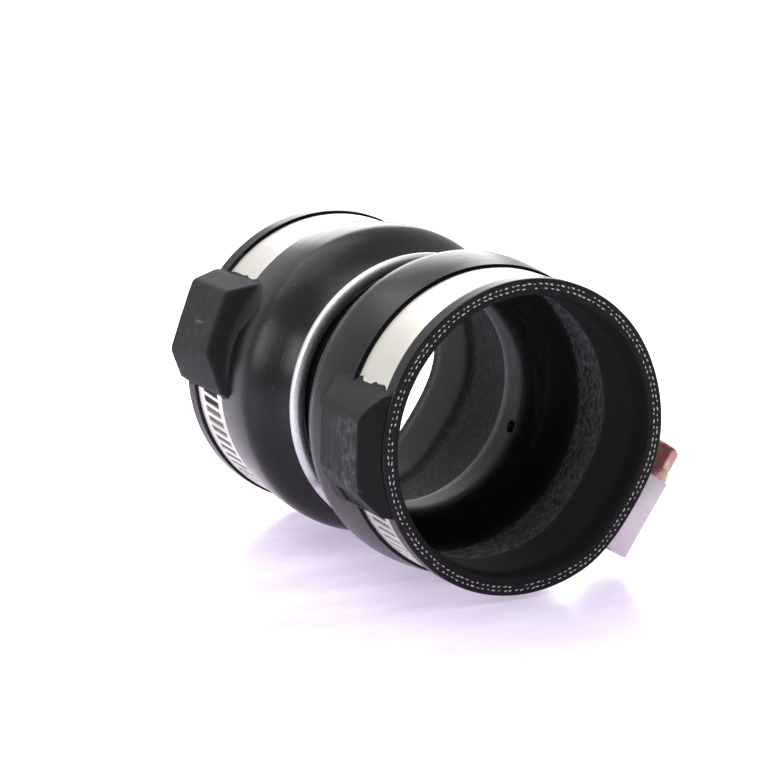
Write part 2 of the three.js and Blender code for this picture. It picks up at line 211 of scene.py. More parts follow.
class StageSettings(bpy.types.PropertyGroup):
    """The camera and the lights."""

    lens: number("Lens", "Focal length in mm", 164.9)
    sky: number("Sky", "Strength of the bright surround", 1.15)
    dim: number("Dim", "Strength of the dim surround", 0.10)
    key: number("Key", "Power of the top light in watts", 5)
    rim: number("Rim", "Power of the back light in watts", 3)
    fill: number("Fill", "Power of the side light in watts", 3)


def in_mm(settings):
    """A settings group's lengths in millimetres, and its other values as they are."""
    values = SimpleNamespace()
    for prop in settings.bl_rna.properties:
        if prop.identifier in {"rna_type", "name"}:
            continue
        value = getattr(settings, prop.identifier)
        is_length = prop.type == "FLOAT" and prop.unit == "LENGTH"
        setattr(values, prop.identifier, value / MM if is_length else value)
    return values


def sleeve_sizes():
    return in_mm(bpy.context.scene.coupling_sleeve)


def clamp_sizes():
    return in_mm(bpy.context.scene.coupling_clamps)


def retainer_sizes():
    return in_mm(bpy.context.scene.coupling_retainers)


# ---- finishes ----

# Distances from the sleeve's middle in mm, as the start and the stop of a change of finish, of painted
# light or of painted shade.
CUT_FACE = (59.9, 59.97)
# Where the waist's streaked painted highlight and its lower roughness fade out.
WAIST_END = (11, 16)
CLOTH_START = (20.5, 22.5)
CLOTH_END = (36.6, 38.2)
# Where the cloth turns fainter on the rear half, as painted shade.
REAR_HALF = (-4, 4)
# How far the painted lilac shadow on the floor reaches round the object.
FLOOR_SHADOW_REACH = (60, 190)


class Value:
    """A socket that holds a number, whose arithmetic adds Math nodes."""

    def __init__(self, nodes, socket):
        self.nodes = nodes
        self.socket = socket

    def maths(self, operation, *others, clamp=False):
        """This value put through a Math node with the others."""
        inputs = dict(enumerate([self, *others]))
        settings = {"operation": operation, "use_clamp": clamp}
        return self.nodes.add("ShaderNodeMath", settings, inputs)

    def __add__(self, other):
        return self.maths("ADD", other)

    __radd__ = __add__

    def __sub__(self, other):
        return self.maths("SUBTRACT", other)

    def __rsub__(self, other):
        return self.nodes.add("ShaderNodeMath", {"operation": "SUBTRACT"}, {0: other, 1: self})

    def __mul__(self, other):
        return self.maths("MULTIPLY", other)

    __rmul__ = __mul__

    def __pow__(self, other):
        return self.maths("POWER", other)

    def __abs__(self):
        return self.maths("ABSOLUTE")

    def ramp(self, low, high):
        """Rises smoothly from 0 to 1 as this value goes from low to high."""
        settings = {"interpolation_type": "SMOOTHSTEP"}
        inputs = {"Value": self, "From Min": low, "From Max": high, "To Min": 0.0, "To Max": 1.0}
        return self.nodes.add("ShaderNodeMapRange", settings, inputs, "Result")


class Nodes:
    """A node tree that nodes are added to."""

    def __init__(self, tree):
        self.tree = tree

    def add(self, kind, settings, inputs, output=0):
        """Adds a node with its settings and its sockets' values or links."""
        node = self.tree.nodes.new(kind)
        for key, setting in settings.items():
            if key == "stops":
                self.set_stops(node.color_ramp.elements, setting)
            else:
                setattr(node, key, setting)
        for key, value in inputs.items():
            if isinstance(value, Value):
                self.tree.links.new(value.socket, node.inputs[key])
            elif hasattr(value, "__len__") and len(value) == 3 and node.inputs[key].type == "RGBA":
                node.inputs[key].default_value = (*value, 1)
            else:
                node.inputs[key].default_value = value
        return Value(self, node.outputs[output])

    @staticmethod
    def set_stops(elements, stops):
        """Gives a colour ramp its stops."""
        while len(elements) < len(stops):
            elements.new(1)
        for element, (place, shade) in zip(elements, stops):
            element.position = place
            element.color = (*shade, 1)


class Finish(Nodes):
    """A material with one Principled shader, built from nodes."""

    def __init__(self, name, specular=0.5, metallic=0.0):
        self.material = bpy.data.materials.new(name)
        self.material.use_nodes = True
        super().__init__(self.material.node_tree)
        self.shader = self.tree.nodes["Principled BSDF"]
        self.shader.inputs["Specular IOR Level"].default_value = specular
        self.shader.inputs["Metallic"].default_value = metallic

    def place(self, scale=(1, 1, 1), turn=(0, 0, 0)):
        """Object coordinates in millimetres about the middle of the sleeve's axis."""
        centred = self.add(
            "ShaderNodeVectorMath",
            {"operation": "SUBTRACT"},
            {0: self.add("ShaderNodeTexCoord", {}, {}, "Object"), 1: tuple(AXIS)},
        )
        sizes = tuple(factor / MM for factor in scale)
        return self.add("ShaderNodeMapping", {}, {"Vector": centred, "Rotation": turn, "Scale": sizes})

    def parts(self, vector):
        """The X, Y and Z of a vector."""
        return [self.add("ShaderNodeSeparateXYZ", {}, {"Vector": vector}, axis) for axis in "XYZ"]

    def grain(self, vector, scale, detail=3.0, roughness=0.5):
        """Noise between 0 and 1, with a scale in cells per millimetre."""
        inputs = {"Vector": vector, "Scale": scale, "Detail": detail, "Roughness": roughness}
        return self.add("ShaderNodeTexNoise", {"noise_dimensions": "3D"}, inputs, "Fac")

    def specks(self, vector, scale, size):
        """1 inside small round specks scattered over the surface."""
        inputs = {"Vector": vector, "Scale": scale, "Randomness": 1.0}
        far = self.add("ShaderNodeTexVoronoi", {"feature": "F1"}, inputs, "Distance")
        return 1 - far.ramp(size * 0.6, size)

    def painted(self, name):
        """A number painted on the piece's vertices."""
        return self.add("ShaderNodeAttribute", {"attribute_name": name}, {}, "Fac")

    def blend(self, share, first, second):
        """The first colour where share is 0 and the second where it is 1."""
        settings = {"data_type": "RGBA", "clamp_factor": True}
        return self.add("ShaderNodeMix", settings, {0: share, 6: first, 7: second}, 2)

    def use(self, socket, value):
        """Links a value to one of the shader's sockets."""
        self.tree.links.new(value.socket, self.shader.inputs[socket])

    def emboss(self, height, depth):
        """Raises the surface by a height between 0 and 1, times a depth in millimetres."""
        inputs = {"Height": height, "Distance": depth * MM, "Strength": 1.0}
        self.use("Normal", self.add("ShaderNodeBump", {}, inputs, "Normal"))


def colours():
    return bpy.context.scene.coupling_colours


def cover_rubber():
    """Satin moulded rubber with flow streaks, dust, and a matt cut end."""
    finish = Finish("cover_rubber", specular=0.2)
    spot = finish.place()
    cut = abs(finish.parts(spot)[1]).ramp(*CUT_FACE)
    streaks = finish.grain(finish.place((0.07, 1.0, 0.07)), 0.9, 5, 0.6)
    bloom = finish.grain(spot, 0.045, 4, 0.55)
    dust = finish.specks(spot, 0.22, 0.045)
    body = finish.blend(bloom.ramp(0.35, 0.75) * 0.8, colours().cover, (0.0085, 0.0082, 0.0100))
    dusty = finish.blend(dust * 0.35, body, (0.30, 0.30, 0.31))
    finish.use("Base Color", finish.blend(cut, dusty, colours().cut))
    sheen = 0.13 + streaks * 0.18 + bloom * 0.08
    finish.use("Roughness", sheen + cut * 0.35)
    pores = finish.grain(spot, 5, 2)
    finish.emboss(streaks * 0.6 + pores * (0.10 + cut * 0.9), 0.05)
    return finish.material


def liner_rubber():
    """Matt rubber, smooth under the band and printed with cloth inside the hump, less at the rear as
    painted shade, with a streaked painted highlight along the waist.
    """
    finish = Finish("liner_rubber", specular=0.3)
    spot = finish.place()
    along = abs(finish.parts(spot)[1])
    cut = along.ramp(*CUT_FACE)
    rear = finish.parts(spot)[1].ramp(*REAR_HALF)
    # The cloth is painted fainter on the rear half as shade; both ends of the liner are alike.
    cloth_zone = along.ramp(*CLOTH_START) * (1 - along.ramp(*CLOTH_END)) * (1 - rear * 0.8)
    waist = 1 - along.ramp(*WAIST_END)
    weave = finish.grain(finish.place((0.5, 1.5, 0.5)), 1.1, 4, 0.65)
    waist_streaks = finish.grain(finish.place((0.12, 0.9, 0.12)), 0.8, 5, 0.6)
    body = finish.blend(cloth_zone * weave.ramp(0.40, 0.62), colours().liner, (0.21, 0.21, 0.213))
    # Painted highlight: lighter streaks along the waist stand for the lit ridge.
    wear_and_highlight = finish.blend(waist * waist_streaks.ramp(0.35, 0.7), body, (0.022, 0.022, 0.023))
    finish.use("Base Color", finish.blend(cut, wear_and_highlight, colours().cut))
    finish.use("Roughness", 0.62 + weave * 0.16 - waist * 0.16 + cut * 0.2)
    finish.emboss(weave * (0.35 + cloth_zone) + waist_streaks * 0.5 * (1 - cut), 0.16)
    return finish.material


def ply_rubber():
    """Rubberised cloth at the cut ends of the plies."""
    finish = Finish("ply_rubber", specular=0.35)
    spot = finish.place()
    grit = finish.grain(spot, 3, 4, 0.6)
    finish.use("Base Color", finish.blend(grit.ramp(0.45, 0.75) * 0.5, colours().cut, (0.06, 0.06, 0.06)))
    finish.use("Roughness", 0.75 + grit * 0.2)
    finish.emboss(grit, 0.08)
    return finish.material


def yarn():
    """White cut yarn, some ends dirtier than others."""
    finish = Finish("yarn", specular=0.3)
    spot = finish.place()
    dirt = finish.grain(spot, 0.7, 2)
    fibres = finish.grain(spot, 9, 2)
    finish.use("Base Color", finish.blend(dirt.ramp(0.5, 0.78) * 0.8, colours().yarn, (0.20, 0.19, 0.18)))
    finish.use("Roughness", 0.8 + fibres * 0.15)
    finish.emboss(fibres, 0.05)
    return finish.material


def retainer_rubber():
    """Matt rubber with pores, scuffed where the piece's scuff is painted."""
    finish = Finish("retainer_rubber", specular=0.22)
    spot = finish.place()
    pores = finish.grain(spot, 4, 3)
    cloud = finish.grain(spot, 0.35, 5, 0.65)
    scratch = finish.grain(finish.place((0.9, 0.9, 0.14)), 1.1, 5, 0.7)
    rubbed = finish.painted("scuff") * cloud.ramp(0.40, 0.62) * scratch.ramp(0.36, 0.68)
    mark = finish.painted("mark")
    body = finish.blend(cloud, colours().retainer, (0.0105, 0.0105, 0.0115))
    wear_and_highlight = finish.blend(rubbed * 0.8, body, colours().scuff)
    finish.use("Base Color", finish.blend(mark, wear_and_highlight, (0.10, 0.10, 0.11)))
    finish.use("Roughness", 0.58 + pores * 0.14 + rubbed * 0.2)
    finish.emboss(pores * 0.35 + cloud * 0.5 + scratch * finish.painted("scuff") * 0.8, 0.09)
    return finish.material


def stainless_band():
    """Bright strip, brushed along its length, with darker panes and dull pressed grooves whose floors carry
    painted shade.
    """
    finish = Finish("stainless_band")
    spot = finish.place()
    brushed = finish.grain(finish.place((0.04, 3.0, 0.04)), 2.2, 3, 0.6)
    smear = finish.grain(spot, 0.12, 4)
    groove = finish.painted("groove")
    stained = finish.blend(smear.ramp(0.45, 0.75) * 0.35, colours().band, (0.52, 0.50, 0.46))
    panes = finish.grain(finish.place((0.6, 0.2, 0.6), (0.4, 0.3, 0.9)), 0.09, 1, 0.2)
    stained = finish.blend(panes.ramp(0.49, 0.505) * 0.5, stained, (0.46, 0.44, 0.40))
    # The grooves' floors are painted darker as shade in the recesses; less metal and more roughness give
    # them a duller finish.
    finish.use("Base Color", finish.blend(groove, stained, colours().groove))
    finish.use("Metallic", 1.0 - groove * 0.35)
    finish.use("Roughness", 0.24 + brushed * 0.12 + smear * 0.1 + groove * 0.3)
    finish.emboss(brushed, 0.012)
    return finish.material


def galvanised_wire():
    """Bright drawn wire with fine rings and a dull weld."""
    finish = Finish("galvanised_wire", metallic=0.92)
    spot = finish.place()
    drawn = finish.grain(finish.place((0.5, 2.0, 0.5)), 2.5, 4, 0.6)
    weld = finish.painted("weld")
    dull = finish.blend(drawn.ramp(0.42, 0.62) * 0.55, colours().ring, (0.33, 0.34, 0.35))
    finish.use("Base Color", finish.blend(weld, dull, (0.16, 0.15, 0.14)))
    finish.use("Roughness", 0.26 + drawn * 0.18 + finish.grain(spot, 0.3, 3) * 0.1 + weld * 0.3)
    finish.emboss(drawn, 0.03)
    return finish.material


def zinc_plate():
    """Dull zinc plating with fine slanting rub marks."""
    finish = Finish("zinc_plate", metallic=0.85)
    spot = finish.place()
    rub = finish.grain(finish.place((0.35, 1.0, 2.4), (0.0, 0.35, 0.0)), 1.6, 4, 0.65)
    cloud = finish.grain(spot, 0.16, 4)
    tinted = finish.blend(cloud.ramp(0.35, 0.7) * 0.6, colours().zinc, (0.74, 0.67, 0.70))
    finish.use("Base Color", finish.blend(rub.ramp(0.5, 0.7) * 0.5, tinted, (0.52, 0.48, 0.49)))
    finish.use("Roughness", 0.40 + rub * 0.16)
    finish.emboss(rub, 0.02)
    return finish.material


def chromate():
    """Passivated plating that drifts between yellow, pink and green."""
    finish = Finish("chromate", metallic=0.9)
    spot = finish.place()
    drift = finish.grain(spot, 0.16, 2, 0.4)
    film = finish.grain(spot, 0.7, 4, 0.6)
    warm = finish.blend(drift.ramp(0.42, 0.58), colours().chromate_yellow, colours().chromate_pink)
    tint = finish.blend(film.ramp(0.50, 0.72) * 0.75, warm, colours().chromate_green)
    finish.use("Base Color", tint)
    finish.use("Roughness", 0.30 + film * 0.16)
    finish.emboss(finish.grain(spot, 3, 3), 0.02)
    return finish.material


def floor_board():
    """Pale, slightly glossy board with a painted lilac shadow round the object."""
    finish = Finish("floor_board", specular=0.4)
    spot = finish.place()
    fibre = finish.grain(spot, 0.4, 4)
    away = finish.add("ShaderNodeVectorMath", {"operation": "LENGTH"}, {0: spot}, "Value")
    streaks = finish.grain(finish.place((0.25, 1.0, 1.0), (0.0, 0.0, 0.7)), 0.05, 4, 0.6)
    # Painted shadow: the floor is painted darker and lilac round the object, broken by streaks.
    near = (1 - away.ramp(*FLOOR_SHADOW_REACH)) * streaks.ramp(0.0, 0.8)
    finish.use("Base Color", finish.blend(near * 0.9, colours().floor, (0.50, 0.42, 0.57)))
    finish.use("Roughness", 0.20 + fibre * 0.08)
    finish.shader.inputs["Emission Color"].default_value = (*colours().floor_glow, 1)
    finish.shader.inputs["Emission Strength"].default_value = 1.0
    return finish.material


MADE_FINISHES = {}


def finish_of(maker):
    """The material of a finish, made once."""
    if maker.__name__ not in MADE_FINISHES:
        MADE_FINISHES[maker.__name__] = maker()
    return MADE_FINISHES[maker.__name__]


# ---- mesh tools ----


def ring_of(outline, steps):
    """A closed outline of (radius, along) places turned once about the sleeve's axis."""
    bm = bmesh.new()
    verts = [bm.verts.new((radius, along, 0)) for radius, along in outline]
    edges = [bm.edges.new(pair) for pair in zip(verts, verts[1:] + verts[:1])]
    bmesh.ops.spin(
        bm,
        geom=verts + edges,
        cent=(0, 0, 0),
        axis=(0, 1, 0),
        angle=2 * math.pi,
        steps=steps,
        use_merge=True,
    )
    return bm


def sheet_of(u_stops, v_stops, top, bottom):
    """A closed sheet: a grid whose upper and lower sides are placed by two functions."""
    bm = bmesh.new()
    last_u, last_v = len(u_stops) - 1, len(v_stops) - 1
    bmesh.ops.create_grid(bm, x_segments=last_u, y_segments=last_v, size=0.5)
    extruded = bmesh.ops.extrude_face_region(bm, geom=bm.faces[:])["geom"]
    lower = {item for item in extruded if isinstance(item, bmesh.types.BMVert)}
    for vert in bm.verts:
        u = u_stops[round((vert.co.x + 0.5) * last_u)]
        v = v_stops[round((vert.co.y + 0.5) * last_v)]
        vert.co = (bottom if vert in lower else top)(u, v)
    return bm


def tube_of(stations, sides, radius_at):
    """A closed bar along X, whose radius at each station and angle comes from a function."""
    bm = bmesh.new()
    last = len(stations) - 1
    bmesh.ops.create_grid(bm, x_segments=last, y_segments=sides, size=0.5)
    for vert in bm.verts:
        x = stations[round((vert.co.x + 0.5) * last)]
        angle = 2 * math.pi * (vert.co.y + 0.5)
        radius = radius_at(x, angle)
        vert.co = (x, radius * math.sin(angle), -radius * math.cos(angle))
    bmesh.ops.remove_doubles(bm, verts=bm.verts[:], dist=1e-4)
    bmesh.ops.holes_fill(bm, edges=[edge for edge in bm.edges if edge.is_boundary], sides=0)
    return bm


def paint(bm, name, amount_at):
    """Paints a number on every vertex, from a function of its place."""
    layer = bm.verts.layers.float.new(name)
    for vert in bm.verts:
        vert[layer] = amount_at(vert.co)


def at_clock(clock, along, turned=False):
    """The matrix from a frame whose Z points outwards at a clock angle to the sleeve's frame."""
    turn = Matrix.Rotation(math.radians(90 - clock), 4, "Y")
    about = Matrix.Rotation(math.pi, 4, "Z") if turned else Matrix()
    return Matrix.Translation((0, along, 0)) @ turn @ about


def keep(bm, name, body, nodes, slot, maker, place=Matrix(), sharp=32):
    """Turns a finished bmesh into a piece that rides on a body and stands for CAD nodes."""
    to_frame = Matrix.Translation(AXIS) @ Matrix.Scale(MM, 4) @ place
    bmesh.ops.transform(bm, matrix=to_frame, verts=bm.verts[:])
    bmesh.ops.recalc_face_normals(bm, faces=bm.faces[:])
    mesh = bpy.data.meshes.new(name)
    bm.to_mesh(mesh)
    bm.free()
    mesh.shade_smooth()
    mesh.set_sharp_from_angle(angle=math.radians(sharp))
    mesh.materials.append(finish_of(maker))
    piece = bpy.data.objects.new(name, mesh)
    bpy.context.scene.collection.objects.link(piece)
    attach(piece, body)
    if nodes:
        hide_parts(*nodes)
    return piece


def smoothstep(value, low, high):
    """Rises smoothly from 0 to 1 between two values."""
    share = max(0.0, min(1.0, (value - low) / (high - low)))
    return share * share * (3 - 2 * share)


def soft_min(first, second, radius):
    """The smaller of two heights, with the crease between them rounded."""
    share = max(radius - abs(first - second), 0) / radius
    return min(first, second) - share * share * radius / 4


def spread(low, high, step):
    """Evenly spaced places from low to high, about a step apart."""
    pieces = max(1, round((high - low) / step))
    return [low + (high - low) * i / pieces for i in range(pieces + 1)]


def polyline(points, place):
    """The second number of a polyline at a place along its first."""
    for (a, first), (b, second) in zip(points, points[1:]):
        if place <= b:
            return first + (second - first) * (place - a) / (b - a)
    return points[-1][1]


# ---- sleeve ----


def hump(s, from_end):
    """The sleeve's outer radius without the band's seat, at a distance from the nearer end."""
    neck_start = s.half_length - s.neck_flat / 2
    if from_end <= s.seat_end:
        return s.radius
    if from_end <= s.hump_crest:
        share = (from_end - s.seat_end) / (s.hump_crest - s.seat_end)
        return s.radius + s.hump_rise * math.sin(math.pi / 2 * share)
    share = min(1.0, (from_end - s.hump_crest) / (neck_start - s.hump_crest))
    crest = s.radius + s.hump_rise
    return s.neck_radius + (crest - s.neck_radius) * (0.5 + 0.5 * math.cos(math.pi * share))


def squeezed(s, from_end):
    """How far the band squeezes the wall inwards at a distance from the nearer end."""
    return s.squeeze * smoothstep(from_end, 1.5, 6.5) * (1 - smoothstep(from_end, 20.2, 24.8))


def cover_radius(s, from_end):
    """The cover's outer radius at a distance from the nearer end, with the band's seat."""
    lip_round = 0.5
    if from_end < lip_round:
        return s.radius - lip_round + math.sqrt(lip_round**2 - (lip_round - from_end) ** 2)
    sunk = smoothstep(from_end, s.seat_start - 0.55, s.seat_start + 0.1)
    raised = smoothstep(from_end, s.seat_end - 0.1, s.seat_end + 0.6)
    depth = s.radius - s.seat_radius
    return hump(s, from_end) - depth * sunk * (1 - raised)


def whole_length(s, half):
    """Both halves of a surface as (radius, along) places from the front end to the rear."""
    front = [(radius, from_end - s.half_length) for from_end, radius in half]
    rear = [(radius, s.half_length - from_end) for from_end, radius in reversed(half)]
    return front + rear


def cover_surface(s):
    lip = [0.0, 0.04, 0.12, 0.25, 0.4, 0.5, 1.5, 2.6, 3.6, 4.3, 4.6, 4.75, 4.9, 5.05, 5.2]
    seat = [8.0, 12.0, 16.0, 20.0, 21.7]
    rise = [21.9, 22.05, 22.2, 22.35, 22.5, 22.8]
    places = lip + seat + rise + spread(23.6, s.half_length - 0.6, 0.95)
    return whole_length(s, [(place, cover_radius(s, place)) for place in places])


def wall_surface(s, depth):
    """A surface inside the wall, at a depth below the sleeve's outer surface."""
    places = [0.0, 1.5, 2.4, 3.3, 4.2, 5.2, 6.5] + spread(8.5, 20.2, 2) + spread(20.9, 25, 0.6)
    places += spread(26, s.half_length - 0.6, 1.1)
    return whole_length(s, [(place, hump(s, place) - squeezed(s, place) - depth) for place in places])


def pressed_radius(s, clamp_clock, radius, clock, along):
    """A radius after each housing has pressed the sleeve flat beneath it."""
    away = abs((clock - clamp_clock + 180) % 360 - 180)
    if away >= s.press_half:
        return radius
    fade = 1 - smoothstep(s.half_length - abs(along), s.seat_end, s.hump_crest)
    return radius - s.press_depth * math.cos(math.pi / 2 * away / s.press_half) ** 2 * fade


def press_flat(bm, s, uneven=0.0):
    """Presses a wall in beneath the housings and gives it a little unevenness."""
    clamp_clock = clamp_sizes().clock
    for vert in bm.verts:
        x, y, z = vert.co
        radius = math.hypot(x, z)
        clock = math.degrees(math.atan2(z, x))
        wanted = pressed_radius(s, clamp_clock, radius, clock, y)
        wanted += uneven * noise.noise(Vector((x, y * 1.5, z)) * 0.06)
        vert.co.x, vert.co.z = x * wanted / radius, z * wanted / radius


def pin_mark(bm, s):
    """Sinks the round mark that the mould's pin leaves in the liner at the waist."""
    clock, along, radius, depth = math.radians(-23), -2.5, 1.8, 1.2
    inner = s.neck_radius - s.wall
    centre = Vector((math.cos(clock), 0, math.sin(clock))) * inner + Vector((0, along, 0))
    near = [v for v in bm.verts if (v.co - centre).length < 7 and math.hypot(v.co.x, v.co.z) < inner + 0.8]
    faces = {face for vert in near for face in vert.link_faces}
    edges = {edge for face in faces for edge in face.edges}
    bmesh.ops.subdivide_edges(bm, edges=list(edges), cuts=5, use_grid_fill=True)
    for vert in bm.verts:
        away = (vert.co - centre).length
        here = math.hypot(vert.co.x, vert.co.z)
        if away < radius * 1.6 and here < inner + 0.8:
            grown = here + depth * (1 - smoothstep(away, radius * 0.82, radius * 1.05))
            vert.co.x, vert.co.z = vert.co.x * grown / here, vert.co.z * grown / here


class COUPLING_OT_sleeve(bpy.types.Operator):
    """Builds the five bonded walls of the sleeve."""

    bl_idname = "coupling.sleeve"
    bl_label = "Sleeve walls"

    def execute(self, context):
        s = sleeve_sizes()
        surfaces = [
            cover_surface(s),
            wall_surface(s, s.cover_depth),
            wall_surface(s, s.outer_ply_depth),
            wall_surface(s, s.tie_depth),
            wall_surface(s, s.inner_ply_depth),
            wall_surface(s, s.wall),
        ]
        walls = [
            ("outer_cover", "cover_rubber", cover_rubber),
            ("outer_ply", "ply_fabric", ply_rubber),
            ("tie_layer", "cover_rubber", cover_rubber),
            ("inner_ply", "ply_fabric", ply_rubber),
            ("inner_liner", "liner_rubber", liner_rubber),
        ]
        for (node, slot, maker), outer, inner in zip(walls, surfaces, surfaces[1:]):
            bm = ring_of(outer + inner[::-1], s.steps)
            press_flat(bm, s, s.wobble if node == "outer_cover" else 0.0)
            if node == "inner_liner":
                pin_mark(bm, s)
            keep(bm, f"sleeve_{node}", "sleeve", [node], slot, maker)
        return {"FINISHED"}


class COUPLING_OT_yarn_ends(bpy.types.Operator):
    """Builds the cut yarn ends of both plies at both end faces."""

    bl_idname = "coupling.yarn_ends"
    bl_label = "Yarn ends"

    def execute(self, context):
        s = sleeve_sizes()
        clamp_clock = clamp_sizes().clock
        rows = {
            "outer_ply": s.radius - (s.cover_depth + s.outer_ply_depth) / 2,
            "inner_ply": s.radius - (s.tie_depth + s.inner_ply_depth) / 2,
        }
        chance = random.Random(7)
        for ply, row_radius in rows.items():
            bm = bmesh.new()
            for side in ENDS.values():
                ends = round(2 * math.pi * row_radius / s.yarn_pitch)
                lean = chance.uniform(-0.2, 0.2)
                for i in range(ends):
                    if chance.random() < 0.05:
                        continue
                    clock = 360 * (i + chance.uniform(-0.16, 0.16)) / ends
                    lean = 0.8 * lean + chance.uniform(-0.16, 0.16)
                    self.yarn_end(bm, s, clamp_clock, row_radius, clock, side, lean, chance)
            keep(bm, f"sleeve_{ply}_yarn", "sleeve", [], "ply_fabric", yarn, sharp=60)
        return {"FINISHED"}

    def yarn_end(self, bm, s, clamp_clock, row_radius, clock, side, lean, chance):
        """Adds one flattened yarn end to an end face."""
        along = side * s.half_length
        radius = pressed_radius(s, clamp_clock, row_radius + chance.uniform(-0.12, 0.12), clock, along)
        long = s.yarn_length * chance.uniform(0.5, 1.15) / 2
        wide = s.yarn_width * chance.uniform(0.65, 1.15) / 2
        shape = (
            at_clock(clock, along - side * 0.02)
            @ Matrix.Translation((0, 0, radius))
            @ Matrix.Rotation(lean, 4, "Y")
            @ Matrix.Diagonal((long, 0.10, wide, 1))
        )
        bmesh.ops.create_uvsphere(bm, u_segments=7, v_segments=5, radius=1, matrix=shape)


class COUPLING_OT_waist_ring(bpy.types.Operator):
    """Builds the wire ring round the waist, with its weld."""

    bl_idname = "coupling.waist_ring"
    bl_label = "Waist ring"

    def execute(self, context):
        s = sleeve_sizes()
        wire = s.ring_wire / 2
        sides = 24
        angles = [2 * math.pi * i / sides for i in range(sides)]
        outline = [(s.ring_radius + wire * math.cos(a), wire * math.sin(a)) for a in angles]
        bm = ring_of(outline, 240)
        weld = math.radians(s.weld_clock)
        centre = Vector((math.cos(weld), 0, math.sin(weld))) * s.ring_radius

        def near_weld(place):
            return 1 - smoothstep((place - centre).length, 1.6, 3.4)

        paint(bm, "weld", lambda place: near_weld(place) * (0.5 + 0.5 * noise.noise(place * 1.4)))
        for vert in bm.verts:
            spine = Vector((vert.co.x, 0, vert.co.z)).normalized() * s.ring_radius
            lump = 0.12 * near_weld(vert.co) * noise.noise(vert.co * 0.9)
            vert.co = spine + (vert.co - spine) * (1 + lump)
        keep(bm, "waist_ring_wire", "sleeve", ["waist_ring"], "galvanised_wire", galvanised_wire)
        return {"FINISHED"}


# ---- clamps ----


def clamp_middle(s, c, side):
    """Where a clamp's middle lies along the sleeve."""
    return side * (s.half_length - c.from_end)


def around(radius, angle, along):
    """A place at an angle from a clamp's own Z, towards larger clock angles."""
    return Vector((-radius * math.sin(angle), along, radius * math.cos(angle)))


def strip(c, outer, angle_from, angle_to, groove_from, groove_to, round_end=False):
    """A stretch of band about a clamp's Z, with grooves pressed in between two angles."""
    middle = outer - c.band_thickness / 2
    step = c.pitch / middle
    slant = math.tan(math.radians(c.lead)) / middle
    low, high = math.radians(angle_from), math.radians(angle_to)
    first = math.ceil(math.radians(groove_from) / step)
    final = math.floor(math.radians(groove_to) / step)
    half, lip = c.groove_width / 2 / middle, 0.14 / middle
    offsets = [(-half - lip, 0), (-half + lip, 1), (0, 1), (half - lip, 1), (half + lip, 0)]
    grooves = [(k * step + offset, deep, 1) for k in range(first, final + 1) for offset, deep in offsets]
    before = spread(low, grooves[0][0] - 0.012, 0.05) if grooves[0][0] - low > 0.02 else [low]
    after = spread(grooves[-1][0] + 0.012, high, 0.05) if high - grooves[-1][0] > 0.02 else [high]
    stops = [(angle, 0, 0) for angle in before] + grooves + [(angle, 0, 0) for angle in after]
    half_width, half_groove = c.band_width / 2, c.groove_length / 2
    inner_rows = [half_width - 0.12, half_width - 0.4]
    inner_rows += [half_groove + 0.14, half_groove - 0.14, half_groove / 2]
    rows = [-half_width] + [-row for row in inner_rows] + [0] + inner_rows[::-1] + [half_width]

    def narrowed(angle, along):
        if not round_end:
            return along
        left = (high - angle) * middle
        corner = 3.5
        if left >= corner:
            return along
        cut = corner - math.sqrt(max(0.0, corner**2 - (corner - left) ** 2))
        return along * (half_width - cut) / half_width

    def place(stop, along, radius):
        angle, _, slanted = stop
        return around(radius, angle - slanted * slant * along, narrowed(angle, along))

    def top(stop, along):
        edge = abs(abs(along) - half_width)
        rounded = 0.16 if edge < 0.01 else 0.03 if edge < 0.2 else 0
        deep = stop[1] and abs(along) < half_groove
        return place(stop, along, outer - rounded - (c.groove_depth if deep else 0))

    def bottom(stop, along):
        return place(stop, along, outer - c.band_thickness)

    bm = sheet_of(stops, rows, top, bottom)

    def grooved(spot):
        depth = outer - math.hypot(spot.x, spot.z)
        inside = c.groove_depth * 0.7 < depth < c.groove_depth * 1.3
        return 1.0 if inside and abs(spot.y) < half_groove else 0.0

    # Marks the groove floors, which get painted shade and a duller finish.
    paint(bm, "groove", grooved)
    return bm


class COUPLING_OT_bands(bpy.types.Operator):
    """Builds the fixed loop and the moving free end of both bands."""

    bl_idname = "coupling.bands"
    bl_label = "Bands"

    def execute(self, context):
        s, c, r = sleeve_sizes(), clamp_sizes(), retainer_sizes()
        retainer_clock = {"front": r.front_clock, "rear": r.rear_clock}
        edge = math.degrees(c.groove_length / c.band_outer) / 2
        tail_edge = math.degrees(c.groove_width / c.tail_outer)
        for end, side in ENDS.items():
            place = at_clock(c.clock, clamp_middle(s, c, side))
            grooved_from = retainer_clock[end] - c.clock
            loop = strip(c, c.band_outer, c.band_from, c.band_to, grooved_from, c.band_to - edge)
            tail_grooves = (c.tail_from + tail_edge, c.tail_to - tail_edge)
            tail = strip(c, c.tail_outer, c.tail_from, c.tail_to, *tail_grooves, round_end=True)
            steel = ("stainless_band", stainless_band, place)
            keep(loop, f"{end}_band_loop", "sleeve", [f"{end}_band"], *steel)
            keep(tail, f"{end}_band_end", f"{end}_tail", [f"{end}_band_tail"], *steel)
        return {"FINISHED"}


